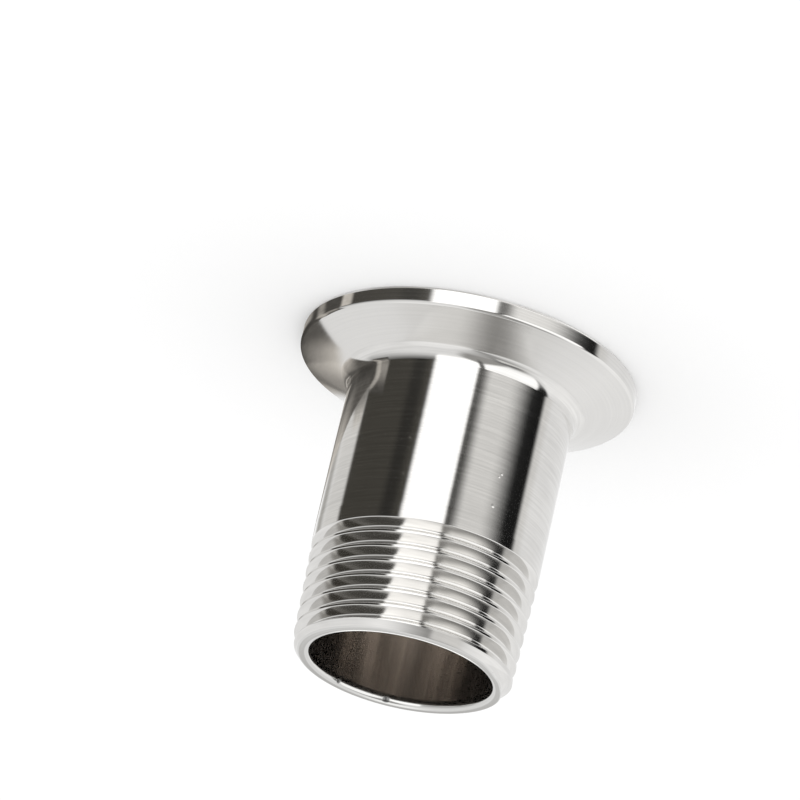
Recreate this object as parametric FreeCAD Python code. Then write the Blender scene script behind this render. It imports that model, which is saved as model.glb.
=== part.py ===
import FreeCAD, Part
import math
import os

# Sanitary ferrule: a clamp flange, a plain round neck and a taper pipe thread,
# turned from one bar. Millimetres. The ferrule stands on its sealing face:
# origin at the centre of that face, +Z along the bore to the threaded mouth.

V = FreeCAD.Vector

# ---- driving dimensions -------------------------------------------------
length = 50.0            # sealing face to mouth
flange_d = 50.5          # clamp flange outside diameter
bore_d = 27.0            # straight through bore
body_d = 33.8            # plain neck

rim_edge_r = 0.4         # round on the rim at the sealing face
rim_corner_z = 2.55      # where the rim cylinder and the back cone would meet
rim_back_r = 0.6         # round between rim and back cone
cone_deg = 23.0          # slope of the back cone against the sealing face
neck_fillet_r = 2.55     # hollow between back cone and neck

groove_centre_d = 43.5   # gasket groove in the sealing face
groove_r = 1.4           # half-round groove

bore_edge = 0.2          # edge break of the bore at the sealing face
mouth_edge = 0.3         # edge break of the bore at the mouth
mouth_face_d = 30.5      # flat ring at the mouth, inside the lead-in chamfer

thread_pitch = 25.4 / 11.0        # 11 threads per inch
thread_h = 0.640327 * thread_pitch  # thread depth
thread_flat = thread_pitch / 6.0  # crest and root width
gauge_d = 33.249         # major diameter at the gauge plane
gauge_len = 10.4         # gauge plane, back from the mouth
taper = 1.0 / 32.0       # radius change per millimetre (1 in 16 on diameter)
groove_line_z = 34.15    # root of the thread at azimuth 0, first full turn
groove_first_deg = -205.0  # azimuth where the first groove reaches full depth
runout_deg = 95.0        # the tool leaves the metal over this angle


def crest_r(z):
    """Radius of the tapered thread blank at height z."""
    return gauge_d / 2.0 - gauge_len * taper + (length - z) * taper


# ---- turned profile -----------------------------------------------------
R = flange_d / 2.0
rb = body_d / 2.0
rbore = bore_d / 2.0
al = math.radians(cone_deg)


def seg(p, q):
    return Part.makeLine(V(p[0], 0, p[1]), V(q[0], 0, q[1]))


def arc(p, m, q):
    return Part.Arc(V(p[0], 0, p[1]), V(m[0], 0, m[1]), V(q[0], 0, q[1])).toShape()


# sealing-side rim round
e0 = (R - rim_edge_r, 0.0)
e1 = (R, rim_edge_r)
ec = (R - rim_edge_r, rim_edge_r)
em = (ec[0] + rim_edge_r * math.cos(-math.pi / 4), ec[1] + rim_edge_r * math.sin(-math.pi / 4))

# round between rim and back cone: tangent to both
turn = math.pi / 2 - al
tl = rim_back_r * math.tan(turn / 2)
b0 = (R, rim_corner_z - tl)
b1 = (R - tl * math.cos(al), rim_corner_z + tl * math.sin(al))
bc = (R - rim_back_r, rim_corner_z - tl)
bm = (bc[0] + rim_back_r * math.cos(turn / 2), bc[1] + rim_back_r * math.sin(turn / 2))

# hollow between back cone and neck: tangent to both
z_meet = rim_corner_z + (R - rb) * math.tan(al)
fc_z = z_meet + neck_fillet_r * (math.cos(al) - (1 - math.sin(al)) * math.tan(al))
fc = (rb + neck_fillet_r, fc_z)
f0 = (fc[0] - neck_fillet_r * math.sin(al), fc[1] - neck_fillet_r * math.cos(al))
f1 = (rb, fc_z)
fa = math.atan2(f0[1] - fc[1], f0[0] - fc[0])
fm_a = (fa - math.pi) / 2 if fa < 0 else (fa + math.pi) / 2
fm = (fc[0] + neck_fillet_r * math.cos(fm_a), fc[1] + neck_fillet_r * math.sin(fm_a))

# taper start, lead-in chamfer at 45 degrees
z_taper = length - (rb - (gauge_d / 2.0 - gauge_len * taper)) / taper
r_end = gauge_d / 2.0 - gauge_len * taper
x_ch = (r_end - mouth_face_d / 2.0) / (1.0 - taper)
c0 = (crest_r(length - x_ch), length - x_ch)
c1 = (mouth_face_d / 2.0, length)

# gasket groove
gc = groove_centre_d / 2.0
g0 = (gc - groove_r, 0.0)
gm = (gc, groove_r)
g1 = (gc + groove_r, 0.0)

pts = [
    seg((rbore + bore_edge, 0.0), g0),
    arc(g0, gm, g1),
    seg(g1, e0),
    arc(e0, em, e1),
    seg(e1, b0),
    arc(b0, bm, b1),
    seg(b1, f0),
    arc(f0, fm, f1),
    seg(f1, (rb, z_taper)),
    seg((rb, z_taper), c0),
    seg(c0, c1),
    seg(c1, (rbore + mouth_edge, length)),
    seg((rbore + mouth_edge, length), (rbore, length - mouth_edge)),
    seg((rbore, length - mouth_edge), (rbore, bore_edge)),
    seg((rbore, bore_edge), (rbore + bore_edge, 0.0)),
]
profile = Part.Face(Part.Wire(pts))
blank = profile.revolve(V(0, 0, 0), V(0, 0, 1), 360)
blank = Part.Solid(blank.Shells[0]) if blank.ShapeType != "Solid" else blank

# ---- thread groove ------------------------------------------------------
# A chain of lofted spans follows the taper helix. Each section is the groove's
# trapezium in the radial plane at its azimuth, so the flanks keep their angle.
half_flank = math.tan(math.radians(27.5))
over = 0.6               # the cutter stands this far outside the crest


def section(deg, depth):
    """Groove section at a running azimuth; azimuth 0 passes groove_line_z."""
    t = math.radians(deg)
    z0 = groove_line_z + thread_pitch * deg / 360.0
    rc = crest_r(z0)
    rr = rc - depth
    ro = rc + over
    wr = thread_flat / 2.0
    wo = wr + (ro - rr) * half_flank
    sh = taper
    quad = []
    for r, dz in ((rr, -wr), (ro, -wo), (ro, wo), (rr, wr)):
        z = z0 + dz
        r2 = r - dz * sh
        quad.append(V(r2 * math.cos(t), r2 * math.sin(t), z))
    return Part.makePolygon(quad + [quad[0]])


step = 15.0
last_deg = (length + 2.2 - groove_line_z) / thread_pitch * 360.0
sections = []
deg = groove_first_deg - runout_deg
while deg < last_deg:
    if deg < groove_first_deg:
        k = (deg - (groove_first_deg - runout_deg)) / runout_deg
        depth = -0.25 + (thread_h + 0.25) * k
    else:
        depth = thread_h
    sections.append(section(deg, depth))
    deg += step
cutter = Part.makeLoft(sections, True, False)
ferrule = blank.cut(cutter)
solids = ferrule.Solids
ferrule = max(solids, key=lambda s: s.Volume)

print("solids", len(solids), "valid", ferrule.isValid(), "volume", round(ferrule.Volume, 1))
bb = ferrule.BoundBox
print("box", [round(v, 3) for v in (bb.XMin, bb.YMin, bb.ZMin, bb.XMax, bb.YMax, bb.ZMax)])
print("fillet centre z", round(fc_z, 3), "taper start", round(z_taper, 3), "chamfer start", [round(v, 3) for v in c0])

os.makedirs("parts", exist_ok=True)
ferrule.exportStep("parts/ferrule.step")
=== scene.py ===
import math

import bpy
import numpy as np
from mathutils import Matrix, Vector


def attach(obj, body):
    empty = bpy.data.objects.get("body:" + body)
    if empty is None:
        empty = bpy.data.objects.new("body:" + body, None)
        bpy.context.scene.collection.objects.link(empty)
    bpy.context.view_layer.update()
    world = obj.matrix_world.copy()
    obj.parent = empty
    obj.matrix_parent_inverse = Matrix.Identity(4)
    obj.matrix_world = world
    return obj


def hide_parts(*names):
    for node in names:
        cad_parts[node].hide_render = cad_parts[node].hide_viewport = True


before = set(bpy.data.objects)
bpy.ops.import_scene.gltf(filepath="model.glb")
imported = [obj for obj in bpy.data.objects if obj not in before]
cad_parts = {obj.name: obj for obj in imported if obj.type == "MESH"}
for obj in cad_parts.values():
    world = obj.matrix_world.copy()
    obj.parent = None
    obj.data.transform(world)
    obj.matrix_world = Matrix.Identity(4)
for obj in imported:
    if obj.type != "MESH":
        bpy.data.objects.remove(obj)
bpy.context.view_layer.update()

MM = 0.001
NAZ = 240                      # columns round the axis
TURN = 2.0 * math.pi

# ---- dimensions, millimetres, as in the CAD part ---------------------------
length = 50.0
flange_d = 50.5
bore_d = 27.0
body_d = 33.8
rim_edge_r = 0.4
rim_corner_z = 2.55
rim_back_r = 0.6
cone_deg = 23.0
neck_fillet_r = 2.55
groove_centre_d = 43.5
groove_r = 1.4
bore_edge = 0.2
mouth_edge = 0.3
mouth_face_d = 30.5
pitch = 25.4 / 11.0
thread_h = 0.640327 * pitch
thread_flat = pitch / 6.0
gauge_d = 33.249
gauge_len = 10.4
taper = 1.0 / 32.0
groove_line_z = 34.15
groove_first_deg = -205.0
runout_deg = 95.0

# rounds too fine for the CAD part
crest_round = 0.12
root_round = 0.302
mouth_round = 0.30
edge_down = 1.3
face_drop = 0.08               # the inner third of the mouth ring leans into the bore
flank_root, flank_crest = 29.7, 26.3   # half angle of the flanks, slightly hollow

R = flange_d / 2.0
rb = body_d / 2.0
rbore = bore_d / 2.0
al = math.radians(cone_deg)
r_end = gauge_d / 2.0 - gauge_len * taper
z_taper = length - (rb - r_end) / taper
x_ch = (r_end - mouth_face_d / 2.0) / (1.0 - taper)
z_ch = length - x_ch
r_face = mouth_face_d / 2.0
t_root = math.tan(math.radians(flank_root))
t_bend = (math.tan(math.radians(flank_crest)) - t_root) / (2.0 * thread_h)
# half width of the root, so that the groove is as wide at the crest as in the CAD part
w_root = thread_flat / 2.0 + thread_h * math.tan(math.radians(27.5)) - (t_root * thread_h + t_bend * thread_h ** 2)


def flank(v):
    """Half width of the groove at height v over its root."""
    return w_root + t_root * v + t_bend * v * v


def flank_slope(v):
    return t_root + 2.0 * t_bend * v


def crest_r(z):
    return r_end + (length - z) * taper


# ---- mesh builder ----------------------------------------------------------
# Strips of quads between rows of points. A column is one azimuth. Every corner
# carries its own exact normal, so that long mirror-like surfaces stay smooth.
class Skin:
    def __init__(self):
        self.pos, self.nor, self.quads, self.mats = [], [], [], []
        self.n = 0

    def strip(self, pos, nor, mat, flip=False):
        """pos, nor: (rows, NAZ + 1, 3)."""
        rows, cols = pos.shape[:2]
        idx = self.n + np.arange(rows * cols).reshape(rows, cols)
        a, b, c, d = idx[:-1, :-1], idx[:-1, 1:], idx[1:, 1:], idx[1:, :-1]
        q = np.stack([a, b, c, d] if not flip else [a, d, c, b], -1).reshape(-1, 4)
        self.pos.append(pos.reshape(-1, 3))
        self.nor.append(nor.reshape(-1, 3))
        self.quads.append(q)
        self.mats.append(np.full(len(q), mat, np.int32))
        self.n += rows * cols

    def mesh(self, name):
        pos = np.concatenate(self.pos)
        nor = np.concatenate(self.nor)
        nor /= np.maximum(np.linalg.norm(nor, axis=1), 1e-12)[:, None]
        quads = np.concatenate(self.quads)
        mats = np.concatenate(self.mats)
        key = np.round(pos / 2e-4).astype(np.int64)
        _, first, inv = np.unique(key, axis=0, return_index=True, return_inverse=True)
        inv = inv.reshape(-1)
        verts = pos[first]
        wq = inv[quads]
        # a corner that repeats the one before it drops out
        keep = wq != np.roll(wq, 1, axis=1)
        count = keep.sum(1)
        ok = count >= 3
        p = verts[wq]
        area = 0.5 * (np.linalg.norm(np.cross(p[:, 1] - p[:, 0], p[:, 2] - p[:, 0]), axis=1)
                      + np.linalg.norm(np.cross(p[:, 2] - p[:, 0], p[:, 3] - p[:, 0]), axis=1))
        ok &= area > 1e-7
        wq, keep, count, mats, quads = wq[ok], keep[ok], count[ok], mats[ok], quads[ok]
        loops = wq[keep]
        lnor = nor[quads[keep]]
        start = np.concatenate([[0], np.cumsum(count)[:-1]])
        used, loops = np.unique(loops, return_inverse=True)
        loops = loops.reshape(-1)
        verts = verts[used]
        me = bpy.data.meshes.new(name)
        me.vertices.add(len(verts))
        me.vertices.foreach_set("co", (verts * MM).astype(np.float32).ravel())
        me.loops.add(len(loops))
        me.loops.foreach_set("vertex_index", loops.astype(np.int32))
        me.polygons.add(len(count))
        me.polygons.foreach_set("loop_start", start.astype(np.int32))
        me.polygons.foreach_set("material_index", mats)
        me.update(calc_edges=True)
        me.validate(verbose=False)
        me.polygons.foreach_set("use_smooth", np.ones(len(me.polygons), bool))
        me.normals_split_custom_set(lnor[: len(me.loops)].tolist())
        me.update()
        return me


skin = Skin()
col = np.arange(NAZ + 1)
ca = np.cos(TURN * (col % NAZ) / NAZ)
sa = np.sin(TURN * (col % NAZ) / NAZ)


def turned(points, mat, shift=0):
    """points: (r, z, nr, nz) along the profile, turned about Z."""
    pts = np.array(points, float)
    c, s = np.roll(ca[:-1], -shift), np.roll(sa[:-1], -shift)
    c, s = np.append(c, c[0]), np.append(s, s[0])
    pos = np.stack([pts[:, 0:1] * c, pts[:, 0:1] * s, np.repeat(pts[:, 1:2], NAZ + 1, 1)], -1)
    nor = np.stack([pts[:, 2:3] * c, pts[:, 2:3] * s, np.repeat(pts[:, 3:4], NAZ + 1, 1)], -1)
    skin.strip(pos, nor, mat)


def line(p, q, n=1):
    """Straight stretch of profile with the material on the left of p to q."""
    d = np.array(q) - np.array(p)
    d = d / np.linalg.norm(d)
    return [(p[0] + (q[0] - p[0]) * t, p[1] + (q[1] - p[1]) * t, d[1], -d[0])
            for t in np.linspace(0, 1, n + 1)]


def arc(c, r, a0, a1, n, hollow=False):
    k = -1.0 if hollow else 1.0
    out = []
    for t in np.linspace(a0, a1, n + 1):
        out.append((c[0] + r * math.cos(t), c[1] + r * math.sin(t), k * math.cos(t), k * math.sin(t)))
    return out


NECK, THREAD, MOUTH, BORE, SEAL, RIM, CONE = range(7)

# sealing face, inside to outside, seen from below: profile runs outward, so the
# left-hand rule of line() gives -Z normals
gc = groove_centre_d / 2.0
turned(line((rbore, bore_edge), (rbore + bore_edge, 0.0)), SEAL)
turned(line((rbore + bore_edge, 0.0), (gc - groove_r - 0.12, 0.0), 3), SEAL)
# soft lips on the gasket groove
lip = 0.12
turned(arc((gc - groove_r - lip, lip), lip, -math.pi / 2, -math.radians(12), 4), SEAL)
g_in = (gc - groove_r - lip + lip * math.cos(-math.radians(12)), lip + lip * math.sin(-math.radians(12)))
a_in = math.atan2(g_in[1], g_in[0] - gc)
turned(arc((gc, 0.0), math.hypot(g_in[0] - gc, g_in[1]), a_in, math.pi - a_in, 20, hollow=True), SEAL)
turned(arc((gc + groove_r + lip, lip), lip, math.pi + math.radians(12), 3 * math.pi / 2, 4), SEAL)
turned(line((gc + groove_r + lip, 0.0), (R - rim_edge_r, 0.0), 2), SEAL)

# rim
turned(arc((R - rim_edge_r, rim_edge_r), rim_edge_r, -math.pi / 2, 0, 8), RIM)
turn = math.pi / 2 - al
tl = rim_back_r * math.tan(turn / 2)
bc = (R - rim_back_r, rim_corner_z - tl)
turned(line((R, rim_edge_r), (R, bc[1]), 2), RIM)
turned(arc(bc, rim_back_r, 0, turn, 10), RIM)
b1 = (R - tl * math.cos(al), rim_corner_z + tl * math.sin(al))
z_meet = rim_corner_z + (R - rb) * math.tan(al)
fc_z = z_meet + neck_fillet_r * (math.cos(al) - (1 - math.sin(al)) * math.tan(al))
fc = (rb + neck_fillet_r, fc_z)
f0 = (fc[0] - neck_fillet_r * math.sin(al), fc[1] - neck_fillet_r * math.cos(al))
turned(line(b1, f0, 6), CONE)
fa = math.atan2(f0[1] - fc[1], f0[0] - fc[0])
turned(arc(fc, neck_fillet_r, fa, -math.pi, 18, hollow=True), NECK)
turned(line((rb, fc_z), (rb, z_taper), 8), NECK)

# bore, mouth to sealing face
# the edge at the mouth is worn round, long down the wall and short across the face
lean = 0.17
t0 = math.atan(edge_down / mouth_edge / lean)
edge_in = mouth_edge / (1 - math.cos(t0))
edge = []
for t in np.linspace(t0, 0.0, 15):
    edge.append((rbore + edge_in * (1 - math.cos(t)), length - face_drop - edge_down * (math.sin(t0) - math.sin(t)),
                 -math.cos(t) / edge_in, math.sin(t) / edge_down))
turned(edge, MOUTH)
turned(line((rbore, edge[-1][1]), (rbore, bore_edge), 10), BORE)


# ---- thread ----------------------------------------------------------------
lead = pitch / TURN


# One column is the thread's profile at one azimuth, from the end of the plain
# neck to the mouth face. Columns start where the first groove starts.
def groove(deg):
    """Height of the groove's middle, its depth, and both slopes per radian."""
    z0 = groove_line_z + pitch * deg / 360.0
    if deg < groove_first_deg:
        k = (deg - (groove_first_deg - runout_deg)) / runout_deg
        d = -0.25 + (thread_h + 0.25) * k
        return z0, max(d, 0.0), (thread_h + 0.25) / math.radians(runout_deg) if d > 0 else 0.0, lead
    # the last groove leaves through the mouth over a short arc
    t = min(max((z0 - 49.3) / 0.55, 0.0), 1.0)
    return z0 + 0.7 * t * t * (3 - 2 * t), thread_h, 0.0, lead * (1 + 4.2 * t * (1 - t) / 0.55)


def fillet(p, a, b, r, n):
    """Arc of radius r in the corner at p; a and b are unit vectors away from it."""
    dot = max(-1.0, min(1.0, float(a @ b)))
    half = math.acos(dot) / 2
    if r <= 0 or half > math.pi / 2 - 1e-3:
        return [p.copy() for _ in range(n + 1)]
    t = r / math.tan(half)
    c = p + (a + b) / np.linalg.norm(a + b) * (r / math.sin(half))
    s, e = p + a * t - c, p + b * t - c
    w = math.acos(max(-1.0, min(1.0, float(s @ e) / (r * r))))
    out = []
    for i in range(n + 1):
        u = i / n
        out.append(c + (math.sin((1 - u) * w) * s + math.sin(u * w) * e) / math.sin(w))
    return out


NC, NR, NF = 4, 6, 6
TURNS = 9
start_deg = groove_first_deg - runout_deg
top_clip = length - mouth_round * 0.55


def column(deg0):
    """List of stretches; each is (points (r, z), depth slope, rise, kind)."""
    out = []
    low = np.array([rb, z_taper])
    for k in range(TURNS):
        z0, D, slope, rise = groove(deg0 + 360.0 * k)
        rr = crest_r(z0) - D
        unshear = lambda u, v: np.array([rr + v - u * taper, z0 + u])
        c0 = r_face + length - z0 - rr      # chamfer line: v = c0 - s u
        s = 1.0 - taper
        small = min(1.0, D / 0.35)

        def meet(side):
            """Where the chamfer line crosses the lower (-1) or upper (1) flank."""
            qa, qb, qc = side * s * t_bend, 1.0 + side * s * t_root, side * s * w_root - c0
            disc = qb * qb - 4 * qa * qc
            v = (-qb + math.sqrt(disc)) / (2 * qa) if disc > 0 else 99.0
            return v if v > -5 else 99.0

        # lower and upper ends of the flanks
        vl = vu = D
        low_ch = meet(-1) < D
        if low_ch:
            vl = meet(-1)
        up_ch = meet(1) < D
        if up_ch:
            vu = meet(1)
        ch_dir = np.array([1.0, -s]) / math.hypot(1, s)
        flat = np.array([1.0, 0.0])
        root_l, root_u = np.array([-w_root, 0.0]), np.array([w_root, 0.0])
        top_l, top_u = np.array([-flank(vl), vl]), np.array([flank(vu), vu])
        if D > 1e-6 and vl > 1e-3 and vu > 1e-3:
            unit = lambda a: a / np.linalg.norm(a)
            room = min(vl, vu)
            rc_, rt_ = min(crest_round * small, 0.5 * room), min(root_round * small, 0.5 * room)
            A = fillet(top_l, -(ch_dir if low_ch else flat), unit(np.array([flank_slope(vl), -1.0])), rc_, NC)
            C = fillet(root_l, unit(np.array([-t_root, 1.0])), flat, rt_, NR)
            E = fillet(root_u, -flat, unit(np.array([t_root, 1.0])), rt_, NR)
            G = fillet(top_u, unit(np.array([-flank_slope(vu), -1.0])), (ch_dir if up_ch else flat), rc_, NC)
        elif D > 0.5 and vl > 1e-3:
            # only the lower flank is left below the mouth
            unit = lambda a: a / np.linalg.norm(a)
            rc_ = min(crest_round, 0.5 * vl)
            A = fillet(top_l, -(ch_dir if low_ch else flat), unit(np.array([flank_slope(vl), -1.0])), rc_, NC)
            C = [root_l] * (NR + 1)
            E = [root_u] * (NR + 1)
            G = [root_u] * (NC + 1)
        else:
            A = [top_l] * (NC + 1)
            C = [np.array([-w_root, max(min(D, vl), 0.0)])] * (NR + 1)
            E = [np.array([w_root, max(min(D, vu), 0.0)])] * (NR + 1)
            G = [top_u] * (NC + 1)

        def wall(p, q, side):
            """Points of the hollow flank from p to q, meeting both."""
            if abs(p[1] - q[1]) < 1e-6:
                return [p + (q - p) * t for t in np.linspace(0, 1, NF + 1)]
            ep, eq = p[0] - side * flank(p[1]), q[0] - side * flank(q[1])
            res = []
            for t in np.linspace(0, 1, NF + 1):
                v = p[1] + (q[1] - p[1]) * t
                res.append(np.array([side * flank(v) + ep + (eq - ep) * t, v]))
            return res

        B, F = wall(A[-1], C[0], -1), wall(E[-1], G[0], 1)
        Dm = [C[-1], E[0]]
        parts = [[unshear(*q) for q in part] for part in (A, B, C, Dm, E, F, G)]
        # land below this groove, broken at the start of the chamfer
        hi = parts[0][0]
        zm = min(max(z_ch, low[1]), hi[1]) if hi[1] > low[1] else low[1]
        f = (zm - low[1]) / (hi[1] - low[1]) if hi[1] - low[1] > 1e-9 else 0.0
        if low[1] < z_ch < hi[1]:
            mid = np.array([crest_r(z_ch), z_ch])
        elif z_ch <= low[1] and low[1] + 0.06 < hi[1]:
            mid = np.array([r_face + length - low[1] - 0.06, low[1] + 0.06])
        elif zm == low[1]:
            mid = low.copy()
        else:
            mid = hi.copy()
        out.append((np.array([low, (low + mid) / 2, mid]), 0.0, 0.0, "land"))
        out.append((np.array([mid, hi]), 0.0, 0.0, "land"))
        for part, kind in zip(parts, ("corner", "flank", "root", "root", "root", "flank", "corner")):
            out.append((np.array(part), slope, rise, kind))
        low = parts[-1][-1]
    return out


def clip(stretches):
    """Cuts the column at top_clip, and gives the end point and direction there."""
    end = direction = None
    res = []
    for pts, slope, rise, kind in stretches:
        pts = pts.copy()
        for i in range(len(pts)):
            if end is not None:
                pts[i] = end
            elif pts[i][1] > top_clip:
                if i > 0 and pts[i][1] > pts[i - 1][1]:
                    a, b = pts[i - 1].copy(), pts[i].copy()
                else:
                    a, b = prev.copy(), pts[i].copy()
                t = (top_clip - a[1]) / (b[1] - a[1])
                end = a + (b - a) * t
                direction = (b - a) / np.linalg.norm(b - a)
                pts[i] = end
            prev = pts[i]
        res.append((pts, slope, rise, kind))
    return res, end, direction


deg_step = 360.0 / NAZ
columns, ends, dirs = [], [], []
for j in range(NAZ + 1):
    st, e, d = clip(column(start_deg + deg_step * j))
    columns.append(st)
    ends.append(e)
    dirs.append(d)
base = int(round(start_deg / deg_step))
cj = np.array([math.cos(TURN * ((base + j) % NAZ) / NAZ) for j in range(NAZ + 1)])
sj = np.array([math.sin(TURN * ((base + j) % NAZ) / NAZ) for j in range(NAZ + 1)])


def profile_normals(p):
    """(cols, n, 2) profile points to in-plane tangents, by differences."""
    t = np.zeros_like(p)
    t[:, 1:-1] = p[:, 2:] - p[:, :-2]
    t[:, 0] = p[:, 1] - p[:, 0]
    t[:, -1] = p[:, -1] - p[:, -2]
    return t


def put_strip(p, tang, dr, dz, mat):
    """p (cols, n, 2); tang in-plane tangents; dr, dz change per radian along the row."""
    tl_ = np.maximum(np.linalg.norm(tang, axis=2, keepdims=True), 1e-12)
    tr, tz = (tang / tl_)[..., 0], (tang / tl_)[..., 1]
    r = p[..., 0]
    # row direction (radial, tangential, axial) x profile direction
    nr = r * tz
    nt = dz * tr - dr * tz
    nz = -r * tr
    c, s = cj[:, None], sj[:, None]
    pos = np.stack([p[..., 0] * c, p[..., 0] * s, p[..., 1]], -1).transpose(1, 0, 2)
    nor = np.stack([nr * c - nt * s, nr * s + nt * c, nz], -1).transpose(1, 0, 2)
    skin.strip(pos, nor, mat)


def fill_tangents(p, t):
    """A stretch that has shrunk to a point takes any upright direction."""
    bad = np.linalg.norm(t, axis=2) < 1e-6
    t[bad] = (0.0, 1.0)
    return t


for i in range(len(columns[0])):
    p = np.array([columns[j][i][0] for j in range(NAZ + 1)])
    slope = np.array([columns[j][i][1] for j in range(NAZ + 1)])[:, None]
    rise = np.array([columns[j][i][2] for j in range(NAZ + 1)])[:, None]
    kind = columns[0][i][3]
    if kind == "land":
        t = fill_tangents(p, np.repeat((p[:, -1:] - p[:, :1]), p.shape[1], 1))
        put_strip(p, t, 0.0, 0.0, THREAD)
    else:
        t = profile_normals(p)
        # curves start and end along their chords' continuation
        if p.shape[1] > 3:
            t[:, 0] = 1.5 * (p[:, 1] - p[:, 0]) - 0.5 * (p[:, 2] - p[:, 1])
            t[:, -1] = 1.5 * (p[:, -1] - p[:, -2]) - 0.5 * (p[:, -2] - p[:, -3])
        t = fill_tangents(p, t)
        put_strip(p, t, -taper * rise - slope, rise, THREAD)

# round into the mouth face, then the face itself
ends, dirs = np.array(ends), np.array(dirs)
h = length - top_clip


def smoothed(v, n=4):
    """Evens a value out over its neighbours round the axis."""
    v = v[:-1]
    v = sum(np.roll(v, k) for k in range(-n, n + 1)) / (2 * n + 1)
    return np.append(v, v[0])


ctrl = ends.copy()
ctrl[:, 0] += smoothed(h * np.clip(dirs[:, 0] / np.maximum(dirs[:, 1], 0.5), -0.8, 0.5))
ctrl[:, 1] = length
last = ctrl - np.stack([smoothed(h / np.clip(dirs[:, 1], 0.6, 1.0)), np.zeros(NAZ + 1)], 1)
us = np.linspace(0, 1, 7)
bez = np.stack([(1 - u) ** 2 * ends + 2 * u * (1 - u) * ctrl + u * u * last for u in us], 1)
btan = np.stack([(1 - u) * (ctrl - ends) + u * (last - ctrl) for u in us], 1)
put_strip(bez, btan, 0.0, 0.0, MOUTH)
fu = np.array([0.0, 0.2, 0.4, 0.55, 0.66, 0.8, 1.0])
fall = np.array([0.0, 0.0, 0.0, 0.0, 0.010, 0.038, face_drop])
slope_in = np.array([0.0, 0.03, 0.02, 0.0, -lean, -lean, -lean])
inner = np.tile([rbore + mouth_edge, length], (NAZ + 1, 1))
face = np.stack([last + (inner - last) * u - np.array([0.0, d]) for u, d in zip(fu, fall)], 1)
tang = np.tile(np.stack([-np.ones(len(fu)), slope_in], 1), (NAZ + 1, 1, 1))
put_strip(face, tang, 0.0, 0.0, MOUTH)

mesh = skin.mesh("ferrule_turned")
ferrule = bpy.data.objects.new("ferrule_turned", mesh)
bpy.context.scene.collection.objects.link(ferrule)
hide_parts("ferrule")
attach(ferrule, "root")
print("ferrule mesh:", len(mesh.vertices), "verts", sum(len(p.vertices) - 2 for p in mesh.polygons), "tris")


# ---- node helpers ----------------------------------------------------------
class Tree:
    def __init__(self, nt):
        self.nt = nt
        nt.nodes.clear()

    def node(self, kind, **props):
        n = self.nt.nodes.new(kind)
        for k, v in props.items():
            setattr(n, k, v)
        return n

    def put(self, socket, value):
        if isinstance(value, bpy.types.NodeSocket):
            self.nt.links.new(value, socket)
        else:
            socket.default_value = value

    def math(self, op, *args, clamp=False):
        n = self.node("ShaderNodeMath", operation=op, use_clamp=clamp)
        for i, a in enumerate(args):
            self.put(n.inputs[i], a)
        return n.outputs[0]

    def step(self, x, lo, hi):
        """0 below lo, 1 above hi, smooth between."""
        n = self.node("ShaderNodeMapRange", interpolation_type="SMOOTHSTEP")
        self.put(n.inputs[0], x)
        n.inputs[1].default_value, n.inputs[2].default_value = lo, hi
        n.inputs[3].default_value, n.inputs[4].default_value = 0.0, 1.0
        return n.outputs[0]

    def band(self, x, a, b, wa, wb=None):
        wb = wa if wb is None else wb
        up = self.step(x, a - wa, a + wa)
        down = self.math("SUBTRACT", 1.0, self.step(x, b - wb, b + wb))
        return self.math("MULTIPLY", up, down)

    def mix(self, fac, a, b):
        n = self.node("ShaderNodeMix", data_type="RGBA")
        self.put(n.inputs[0], fac)
        self.put(n.inputs[6], a)
        self.put(n.inputs[7], b)
        return n.outputs[2]

    def noise(self, vec, scale, detail=2.0, rough=0.5, dims="3D"):
        n = self.node("ShaderNodeTexNoise", noise_dimensions=dims)
        self.put(n.inputs["Vector"], vec)
        n.inputs["Scale"].default_value = scale
        n.inputs["Detail"].default_value = detail
        n.inputs["Roughness"].default_value = rough
        return n.outputs[0]

    def scaled(self, vec, s, offset=(0, 0, 0)):
        n = self.node("ShaderNodeMapping")
        self.put(n.inputs[0], vec)
        n.inputs["Location"].default_value = offset
        n.inputs["Scale"].default_value = s
        return n.outputs[0]


def grey(v, warm=0.0):
    return (v * (1 + 0.5 * warm), v, v * (1 - warm), 1.0)


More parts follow.
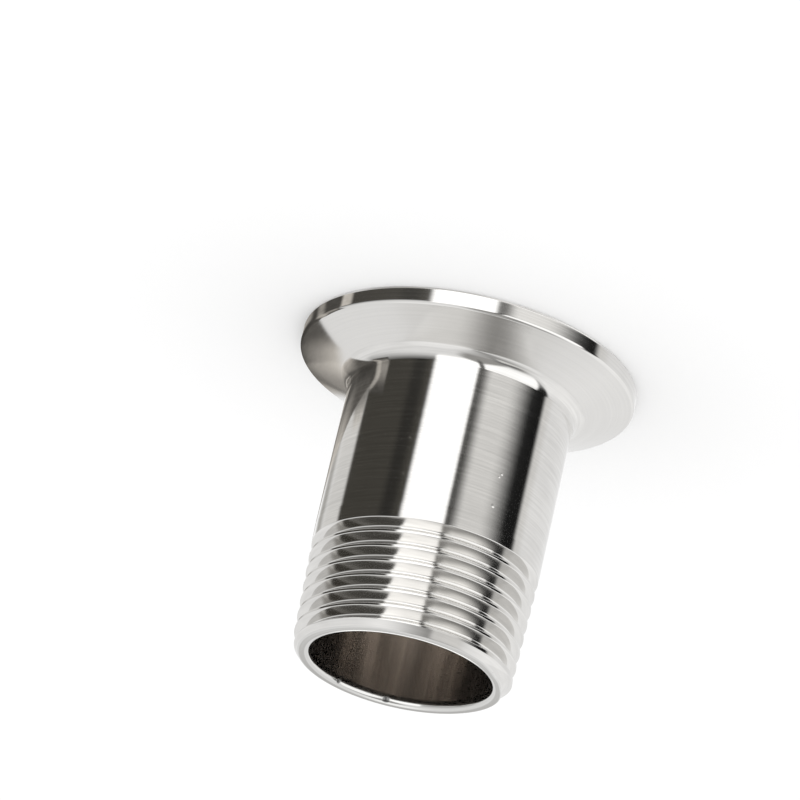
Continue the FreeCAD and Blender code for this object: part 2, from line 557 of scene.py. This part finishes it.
def light_field(T, AZ, EL, grey):
    """Radiance of the studio by direction. AZ is measured from the camera, EL from level."""
    add = lambda a, b: T.math("ADD", a, b)
    sub = lambda a, b: T.math("SUBTRACT", a, b)
    mul = lambda a, b: T.math("MULTIPLY", a, b)

    def times(*m):
        out = m[0]
        for x in m[1:]:
            out = mul(out, x)
        return out

    def over(env, mask, value, warm=0.0):
        return T.mix(mask, env, grey(value, warm))

    # ---- walls and ceiling ----
    env = grey(0.90, 0.0)
    env = over(env, times(T.band(AZ, -150, -84, 22, 3), T.band(EL, -2, 46, 8, 9)), 1.06)
    side = T.step(T.math("ABSOLUTE", AZ), 126, 146)
    env = over(env, times(T.step(EL, 54, 64), side), 0.80, 0.01)
    env = over(env, times(T.step(EL, 54, 64), sub(1.0, side)), 1.04)
    env = over(env, times(T.step(EL, 50, 63), T.band(AZ, -88, 4, 52, 46)), 0.36, 0.02)
    # table edge on the right: dark at its foot, lighter upward
    wedge = T.band(AZ, 30, 113, 4, 7)
    foot = T.step(EL, -24, 31)
    env = over(env, times(wedge, sub(1.0, foot)), 0.10, 0.04)
    env = over(env, times(T.band(AZ, 111, 140, 5, 8), sub(1.0, T.step(EL, -4, 12))), 0.76)
    env = over(env, times(T.band(AZ, 98, 116, 4, 4), sub(1.0, T.step(EL, -16, 4))), 0.34, 0.05)
    # what the mouth ring mirrors: dim at level, bright lines above and below
    back = T.step(T.math("ABSOLUTE", AZ), 175, 178)
    env = over(env, times(back, T.band(EL, 11, 22, 2, 6)), 0.52, 0.02)
    env = over(env, times(back, T.band(EL, -14, 7.5, 4, 1.5)), 1.50)
    env = over(env, times(back, T.band(EL, 38, 52, 3, 5)), 1.35)
    # front soft box
    env = over(env, times(T.band(AZ, -10, 33.5, 2.0, 2.2), sub(1.0, T.step(EL, 6, 30))), 1.54)
    # small soft box
    env = over(env, times(T.band(AZ, -72.5, -14, 2.6, 2), sub(1.0, T.step(EL, 24, 44))), 1.34)
    env = over(env, times(T.band(AZ, -74, -60, 3, 8), sub(1.0, T.step(EL, -14, -2))), 1.0)
    # hood: hangs over both boxes and points down between them
    point = T.math("ABSOLUTE", add(AZ, 9.0))
    edge = T.math("MINIMUM", add(10.0, mul(point, 0.95)), 41.0)
    hood = times(T.step(sub(EL, edge), -7, 7), T.band(AZ, -70, 13, 14, 9), sub(1.0, T.step(EL, 50, 66)))
    env = over(env, hood, 0.36, 0.03)
    blob = times(T.band(AZ, -62, -30, 12, 10), T.band(EL, 45, 64, 5, 8))
    env = over(env, blob, 0.19, 0.0)
    # lighter patch under the dark ceiling, which only the thread's chamfer mirrors
    past = T.math("MAXIMUM", sub(-43.0, AZ), 0.0)
    ceiling = sub(sub(66.3, mul(past, 0.17)), mul(mul(past, past), 0.0018))
    lit = times(T.band(AZ, -98, -37, 8, 6), T.step(EL, 52, 57), sub(1.0, T.step(sub(EL, ceiling), -1.5, 1.5)))
    env = over(env, lit, 0.78, 0.02)
    # black flag left of the small box, fading upward
    flag_l = add(-89.5, mul(T.math("MAXIMUM", add(EL, 17.0), 0.0), 0.30))
    flag = times(T.step(sub(AZ, flag_l), -3, 3), sub(1.0, T.step(AZ, -76, -71.5)))
    env = over(env, times(flag, sub(1.0, T.step(EL, 40, 60))), 0.45)
    env = over(env, times(flag, sub(1.0, T.step(EL, -4, 26))), 0.02)
    # dark gap between the boxes
    gap = sub(AZ, add(-13.2, mul(add(EL, 17.0), 0.11)))
    env = over(env, times(T.band(gap, -2.4, 2.4, 1.5, 1.5), sub(1.0, T.step(EL, 14, 40))), 0.13, 0.05)
    upper = env

    # ---- strip at the level that the neck mirrors ----
    env = grey(0.89, 0.0)
    env = over(env, T.step(AZ, 142, 172), 1.08)
    env = over(env, T.step(T.math("ABSOLUTE", AZ), 162, 180), 1.08)
    env = over(env, T.band(AZ, 60, 138, 4, 6), 0.75, 0.02)
    env = over(env, T.band(AZ, 141, 156, 6, 5), 0.46, 0.04)
    env = over(env, T.band(AZ, -100, 0, 6, 2), 0.76, 0.02)
    env = over(env, T.band(AZ, -90, -59, 3.5, 16), 0.012)
    env = over(env, times(T.step(AZ, -26, -13), sub(1.0, T.step(AZ, -11.3, -7.3))), 0.085, 0.05)
    env = over(env, T.band(AZ, -9.1, 33.6, 2.2, 3.4), 1.48)
    env = over(env, T.band(AZ, 35.4, 109, 2.2, 3), 0.056, 0.14)
    env = over(env, T.band(AZ, 43, 57, 5, 5), 0.030, 0.10)
    strip = env

    # ---- below: what the thread's flanks mirror ----
    env = grey(0.86, 0.0)
    low = T.math("MAXIMUM", sub(-32.0, EL), 0.0)
    flag_b = sub(AZ, sub(mul(low, 2.3), 91.0))
    box_l = sub(AZ, sub(mul(low, 1.15), 85.0))
    env = over(env, T.step(AZ, -118, -98), 0.74)
    env = over(env, times(T.step(flag_b, -3, 3), sub(1.0, T.step(AZ, -24, -11))), 0.035)
    box = times(T.step(box_l, 0, 36), sub(1.0, T.step(AZ, -24, -11)))
    env = over(env, box, 0.45, 0.02)
    env = over(env, times(box, T.step(EL, -47, -35)), 1.52, 0.01)
    env = over(env, T.band(AZ, -17.5, -10.2, 6.5, 2), 0.26, 0.05)
    env = over(env, T.band(AZ, -10.2, 36, 2.2, 2.6), 1.60)
    env = over(env, times(T.band(AZ, -6, 36, 14, 2.6), T.step(EL, -43, -38)), 1.95)
    sag = T.math("MAXIMUM", sub(-36.0, EL), 0.0)
    right = sub(add(102, mul(add(EL, 26.0), 2.2)), mul(mul(sag, sag), 0.3))
    dark_r = times(T.step(AZ, 35, 39), sub(1.0, T.step(sub(AZ, right), -4, 4)))
    env = over(env, dark_r, 0.20, 0.06)
    env = over(env, times(dark_r, sub(1.0, T.step(EL, -32, -25))), 0.085, 0.08)
    # floor side
    deep = grey(1.05, 0.0)
    deep = over(deep, T.band(AZ, -66, -34, 8, 10), 0.48)
    deep = over(deep, T.band(AZ, 55, 105, 10, 12), 0.50, 0.03)
    deep = over(deep, T.band(AZ, 105, 182, 12, 2), 0.24, 0.06)
    deep = over(deep, T.band(AZ, -176, -80, 4, 6), 1.28)
    deep = over(deep, sub(1.0, T.step(EL, -80, -58)), 0.85, 0.02)
    env = T.mix(sub(1.0, T.step(EL, -52, -46)), env, deep)
    env = T.mix(T.step(EL, -25.4, -24.4), env, strip)
    return T.mix(T.step(EL, -18.0, -16.4), env, upper)


# ---- studio: soft boxes and dark flags round the object --------------------
world = bpy.data.worlds.new("studio")
bpy.context.scene.world = world
world.use_nodes = True
T = Tree(world.node_tree)
tc = T.node("ShaderNodeTexCoord")
rot = T.node("ShaderNodeVectorRotate", rotation_type="Z_AXIS")
T.put(rot.inputs["Vector"], tc.outputs["Generated"])
rot.inputs["Angle"].default_value = math.radians(45.0)
xyz = T.node("ShaderNodeSeparateXYZ")
T.put(xyz.inputs[0], rot.outputs[0])
X, Y, Z = xyz.outputs
AZ = T.math("MULTIPLY", T.math("ARCTAN2", Y, X), 180.0 / math.pi)
EL = T.math("MULTIPLY", T.math("ARCSINE", Z), 180.0 / math.pi)

studio = light_field(T, AZ, EL, grey)
lp = T.node("ShaderNodeLightPath")
flat_light = T.mix(lp.outputs["Is Diffuse Ray"], studio, (1.22, 1.22, 1.22, 1.0))
final = T.mix(lp.outputs["Is Camera Ray"], flat_light, (1.0, 1.0, 1.0, 1.0))
bg = T.node("ShaderNodeBackground")
T.put(bg.inputs[0], final)
bg.inputs[1].default_value = 1.0
out = T.node("ShaderNodeOutputWorld")
T.nt.links.new(bg.outputs[0], out.inputs[0])
world.cycles.sampling_method = "NONE"


# ---- materials -------------------------------------------------------------
# small nicks: place in millimetres, size, depth in micrometres, and painted shade: how far the colour darkens in the
# dent
NECK_NICKS = [((15.47, -6.81, 20.18), 0.35, 6.0, 0.0), ((15.35, -7.07, 25.95), 0.35, 6.0, 0.0),
              ((4.80, -16.20, 22.4), 0.28, 8.0, 0.0), ((5.12, -16.10, 23.0), 0.20, 8.0, 0.0),
              ((5.10, -16.11, 27.6), 0.40, 11.0, 0.12)]
CONE_NICKS = [((-12.90, -18.83, 3.58), 0.35, 14.0, 0.0)]
# the mouth's two nicks carry strong painted shade, dark notches in the bright highlight of the inner edge
MOUTH_NICKS = [((-1.50, 13.48, 49.55), 0.50, 30.0, 0.75), ((-8.78, 10.36, 49.60), 0.72, 30.0, 0.75)]


def steel(name, base, rough, marks, tint=0.04, rough_var=0.06, lengthwise=False, radial=False, streaks=0.0,
          nicks=()):
    """marks: list of (lines per mm across the marks, wander along them, bump in micrometres)."""
    m = bpy.data.materials.new(name)
    m.use_nodes = True
    t = Tree(m.node_tree)
    tcm = t.node("ShaderNodeTexCoord")
    mm = t.scaled(tcm.outputs["Object"], (1000.0, 1000.0, 1000.0))
    s = t.node("ShaderNodeSeparateXYZ")
    t.put(s.inputs[0], mm)
    rad = t.math("SQRT", t.math("ADD", t.math("MULTIPLY", s.outputs[0], s.outputs[0]),
                                t.math("MULTIPLY", s.outputs[1], s.outputs[1])))
    safe = t.math("MAXIMUM", rad, 0.001)
    ux = t.math("DIVIDE", s.outputs[0], safe)
    uy = t.math("DIVIDE", s.outputs[1], safe)

    def field(per_mm, wander, seed, detail=2.0):
        n = t.node("ShaderNodeCombineXYZ")
        across = rad if radial else s.outputs[2]
        if lengthwise:
            t.put(n.inputs[0], t.math("MULTIPLY", ux, per_mm * rbore))
            t.put(n.inputs[1], t.math("MULTIPLY", uy, per_mm * rbore))
            t.put(n.inputs[2], t.math("MULTIPLY_ADD", s.outputs[2], wander, seed))
        else:
            t.put(n.inputs[0], t.math("MULTIPLY", ux, wander))
            t.put(n.inputs[1], t.math("MULTIPLY", uy, wander))
            t.put(n.inputs[2], t.math("MULTIPLY_ADD", across, per_mm, seed))
        return t.noise(n.outputs[0], 1.0, detail, 0.55)

    normal = None
    for i, (per_mm, wander, microns) in enumerate(marks):
        b = t.node("ShaderNodeBump")
        b.inputs["Strength"].default_value = 1.0
        b.inputs["Distance"].default_value = microns * 1e-6
        t.put(b.inputs["Height"], field(per_mm, wander, 3.7 * i))
        if normal is not None:
            t.put(b.inputs["Normal"], normal)
        normal = b.outputs[0]
    nick_shade = 1.0
    for place, size, depth, dark in nicks:
        away = t.node("ShaderNodeVectorMath", operation="DISTANCE")
        t.put(away.inputs[0], mm)
        away.inputs[1].default_value = place
        b = t.node("ShaderNodeBump")
        b.inputs["Strength"].default_value = 1.0
        b.inputs["Distance"].default_value = depth * 1e-6
        t.put(b.inputs["Height"], t.step(away.outputs["Value"], 0.0, size))
        t.put(b.inputs["Normal"], normal)
        normal = b.outputs[0]
        # painted shade: the colour darkens inside the nick, most at its middle
        if dark:
            kept = t.math("MULTIPLY_ADD", t.step(away.outputs["Value"], 0.5 * size, size), dark, 1.0 - dark)
            nick_shade = t.math("MULTIPLY", nick_shade, kept)
    shade = field(marks[0][0] * 0.6, marks[0][1], 11.3)
    cloud = t.noise(mm, 0.16, 3.0, 0.55)
    f = t.math("MULTIPLY_ADD", t.math("SUBTRACT", shade, 0.5), 2 * tint,
               t.math("MULTIPLY_ADD", t.math("SUBTRACT", cloud, 0.5), tint, 1.0))
    if streaks:
        wide = t.math("MULTIPLY", t.math("SUBTRACT", field(0.33, 0.012, 5.9, 3.0), 0.5), streaks)
        f = t.math("MULTIPLY", f, t.math("ADD", 1.0, wide))
    # the nicks' painted shade darkens the colour
    if nicks:
        f = t.math("MULTIPLY", f, nick_shade)
    colour = t.node("ShaderNodeVectorMath", operation="SCALE")
    colour.inputs[0].default_value = base
    t.put(colour.inputs["Scale"], f)
    bsdf = t.node("ShaderNodeBsdfPrincipled")
    t.put(bsdf.inputs["Base Color"], colour.outputs[0])
    bsdf.inputs["Metallic"].default_value = 1.0
    rr = t.math("MULTIPLY_ADD", t.math("SUBTRACT", shade, 0.5), rough_var, rough)
    t.put(bsdf.inputs["Roughness"], t.math("MAXIMUM", rr, 0.03))
    t.put(bsdf.inputs["Normal"], normal)
    o = t.node("ShaderNodeOutputMaterial")
    t.nt.links.new(bsdf.outputs[0], o.inputs[0])
    return m


warm = (0.75, 0.74, 0.722)
mats = [None] * 7
mats[NECK] = steel("steel_neck", warm, 0.075, [(5.5, 1.8, 0.50), (13.0, 1.5, 0.40)], tint=0.17, rough_var=0.035,
                   nicks=NECK_NICKS)
mats[THREAD] = steel("steel_thread", warm, 0.08, [(6.0, 2.0, 0.50)], tint=0.14, rough_var=0.03)
mats[MOUTH] = steel("steel_mouth", (0.695, 0.69, 0.675), 0.11, [(5.0, 1.5, 1.0)], tint=0.06, radial=True,
                    nicks=MOUTH_NICKS)
mats[BORE] = steel("steel_bore", (0.68, 0.645, 0.61), 0.17, [(1.6, 0.05, 0.35)], tint=0.22, lengthwise=True,
                   streaks=1.1)
mats[SEAL] = steel("steel_seal", (0.68, 0.675, 0.66), 0.30, [(5.0, 1.0, 4.0)], radial=True)
mats[RIM] = steel("steel_rim", warm, 0.08, [(5.0, 1.0, 0.40)], tint=0.12, rough_var=0.03)
mats[CONE] = steel("steel_cone", warm, 0.13, [(5.0, 0.8, 0.9)], tint=0.05, radial=True, nicks=CONE_NICKS)
for m in mats:
    mesh.materials.append(m)

# ---- floor -----------------------------------------------------------------
fm = bpy.data.meshes.new("floor")
S = 6.0
fz = -0.02 * MM                # a hair below the sealing face, so that the two never share a plane
fm.from_pydata([(-S, -S, fz), (S, -S, fz), (S, S, fz), (-S, S, fz)], [], [(0, 1, 2, 3)])
floor = bpy.data.objects.new("floor", fm)
bpy.context.scene.collection.objects.link(floor)
floor.visible_glossy = False
pm = bpy.data.materials.new("pale_floor")
pm.use_nodes = True
t = Tree(pm.node_tree)
d = t.node("ShaderNodeBsdfDiffuse")
d.inputs[0].default_value = (0.86, 0.86, 0.86, 1.0)
o = t.node("ShaderNodeOutputMaterial")
t.nt.links.new(d.outputs[0], o.inputs[0])
fm.materials.append(pm)

# ---- cards -----------------------------------------------------------------
# Small cards standing and lying close to the flange, seen only in its reflections.
# Points are millimetres, x towards the camera's azimuth.
def card(name, points, colour, shade):
    me = bpy.data.meshes.new(name)
    me.from_pydata([(x * MM, y * MM, z * MM) for x, y, z in points], [], [tuple(range(len(points)))])
    ob = bpy.data.objects.new(name, me)
    ob.rotation_euler = (0.0, 0.0, math.radians(-45.0))
    bpy.context.scene.collection.objects.link(ob)
    for k in ("visible_camera", "visible_diffuse", "visible_transmission", "visible_shadow",
              "visible_volume_scatter"):
        setattr(ob, k, False)
    m = bpy.data.materials.new(name)
    m.use_nodes = True
    t = Tree(m.node_tree)
    c = t.node("ShaderNodeTexCoord")
    x = t.node("ShaderNodeSeparateXYZ")
    mm = t.scaled(c.outputs["Object"], (1000.0, 1000.0, 1000.0))
    t.put(x.inputs[0], mm)
    strength, cover = shade(t, *x.outputs)
    patch = t.noise(t.scaled(mm, (0.5, 0.5, 1.4)), 1.0, 3.0)
    strength = t.math("MULTIPLY", strength, t.math("MULTIPLY_ADD", patch, 0.6, 0.7))
    e = t.node("ShaderNodeEmission")
    e.inputs[0].default_value = (*colour, 1.0)
    t.put(e.inputs[1], strength)
    clear = t.node("ShaderNodeBsdfTransparent")
    mixed = t.node("ShaderNodeMixShader")
    t.put(mixed.inputs[0], cover)
    t.nt.links.new(clear.outputs[0], mixed.inputs[1])
    t.nt.links.new(e.outputs[0], mixed.inputs[2])
    o = t.node("ShaderNodeOutputMaterial")
    t.nt.links.new(mixed.outputs[0], o.inputs[0])
    m.cycles.emission_sampling = "NONE"
    me.materials.append(m)


def wall_shade(t, x, y, z):
    """A grey wall close to the flange: dark low down, a light streak near its end."""
    add = lambda *a: a[0] if len(a) == 1 else t.math("ADD", a[0], add(*a[1:]))
    mul = lambda *a: a[0] if len(a) == 1 else t.math("MULTIPLY", a[0], mul(*a[1:]))
    sub = lambda a, b: t.math("SUBTRACT", a, b)
    left = mul(x, -1.0)
    base = add(0.11, mul(t.step(left, 0, 7), 0.07), mul(t.step(left, 15, 19), 0.13), mul(t.step(left, 20, 35), -0.02))
    base = mul(base, add(0.55, mul(t.step(z, 2.5, 5), 0.45)))
    climb = mul(t.step(left, 1, 11), 0.05, add(1.0, mul(t.step(left, 14, 45), -0.9)), t.math("MAXIMUM", sub(z, 4.0), 0.0))
    light = mul(add(base, climb), sub(1.0, t.step(x, 4.8, 6.4)))
    light = add(light, mul(t.step(x, 4.8, 6.4), 0.08))
    high = t.math("MAXIMUM", sub(z, 4.0), 0.0)
    mid = add(7.4, mul(t.math("MINIMUM", t.math("MAXIMUM", add(z, 1.0), 0.0), 4.4), 0.3),
              mul(t.math("POWER", high, 1.8), -0.6))
    streak = mul(sub(1.0, t.step(t.math("ABSOLUTE", sub(x, mid)), 0.3, 1.8)), add(1.0, mul(t.step(z, 5.2, 7.6), -1.0)),
                 add(0.65, mul(t.step(z, 0.0, 1.2), 0.35)))
    patch = mul(t.band(x, 9.2, 13.0, 1.4, 0.8), t.step(z, 0.8, 2.2), sub(1.0, t.step(z, 2.8, 6.4)))
    tab = mul(t.band(x, 13.2, 15.7, 0.5, 0.6), sub(1.0, t.step(z, 0.1, 0.7)))
    rim = mul(sub(1.0, t.step(x, 2.5, 5.5)), sub(1.0, t.step(z, -0.2, 0.8)))
    light = add(light, mul(streak, 0.36), mul(patch, 0.25), mul(rim, 0.28), mul(tab, 0.55))
    top = t.math("MAXIMUM", sub(8.6, mul(t.math("MAXIMUM", x, -9.0), 0.5)), mul(t.step(x, 5.0, 6.5), 6.9))
    soft = add(0.5, mul(t.step(left, 6, 12), 1.5))
    cover = mul(sub(1.0, t.step(t.math("DIVIDE", sub(z, top), soft), -1, 1)), 
                t.math("MAXIMUM", sub(1.0, t.step(x, 13.0, 13.8)),
                       mul(sub(1.0, t.step(x, 15.8, 16.8)), sub(1.0, t.step(z, 0.1, 0.7)))))
    # its far end fades out
    return light, mul(cover, sub(1.0, t.step(left, 60, 108)))


def board_shade(t, x, y, z):
    """A board lying left of the flange, lighter with distance."""
    light = t.math("MULTIPLY_ADD", t.step(y, 40.5, 53), 0.44, 0.26)
    off = t.math("ADD", t.math("SUBTRACT", x, 5.6), t.math("MULTIPLY", t.math("SUBTRACT", y, 26.0), 0.344))
    width = t.math("MULTIPLY_ADD", t.step(y, 38, 44), -3.0, 3.4)
    cover = t.math("SUBTRACT", 1.0, t.step(t.math("DIVIDE", off, width), -0.4, 1.3))
    cover = t.math("MULTIPLY", cover, t.math("SUBTRACT", 1.0, t.step(y, 49, 55)))
    return light, t.math("MULTIPLY", cover, t.step(x, -16, -10))


wall = [(17, -3), (-12, -3), (-18, -6.5), (-56, -9), (-86, -12), (-110, -20), (-110, 15.5), (17, 15.5)]
card("card_wall", [(x, 26, z) for x, z in wall], (1.06, 1.0, 0.92), wall_shade)
card("card_board", [(-18, 30, -0.2), (14, 30, -0.2), (14, 56, -0.2), (-18, 56, -0.2)], (1.04, 1.0, 0.94), board_shade)

# ---- camera ----------------------------------------------------------------
cam_data = bpy.data.cameras.new("camera")
cam = bpy.data.objects.new("camera", cam_data)
bpy.context.scene.collection.objects.link(cam)
cam_data.sensor_fit = "HORIZONTAL"
cam_data.sensor_width = 36.0
cam_data.lens = 282.171
cam_data.clip_start = 0.01
cam_data.clip_end = 50.0
turn3 = Matrix(((-0.6331890464, 0.4323960941, 0.6419542424),
                (-0.7457442325, -0.1187754377, -0.6555592537),
                (-0.2072128647, -0.8938266111, 0.3976641995)))
cam.matrix_world = Matrix.Translation((0.60177376, -0.60177376, 0.37699246)) @ turn3.to_4x4()
bpy.context.scene.camera = cam

scene = bpy.context.scene
scene.view_settings.view_transform = "Standard"
scene.view_settings.look = "None"
scene.view_settings.exposure = 0.0
scene.view_settings.gamma = 1.0
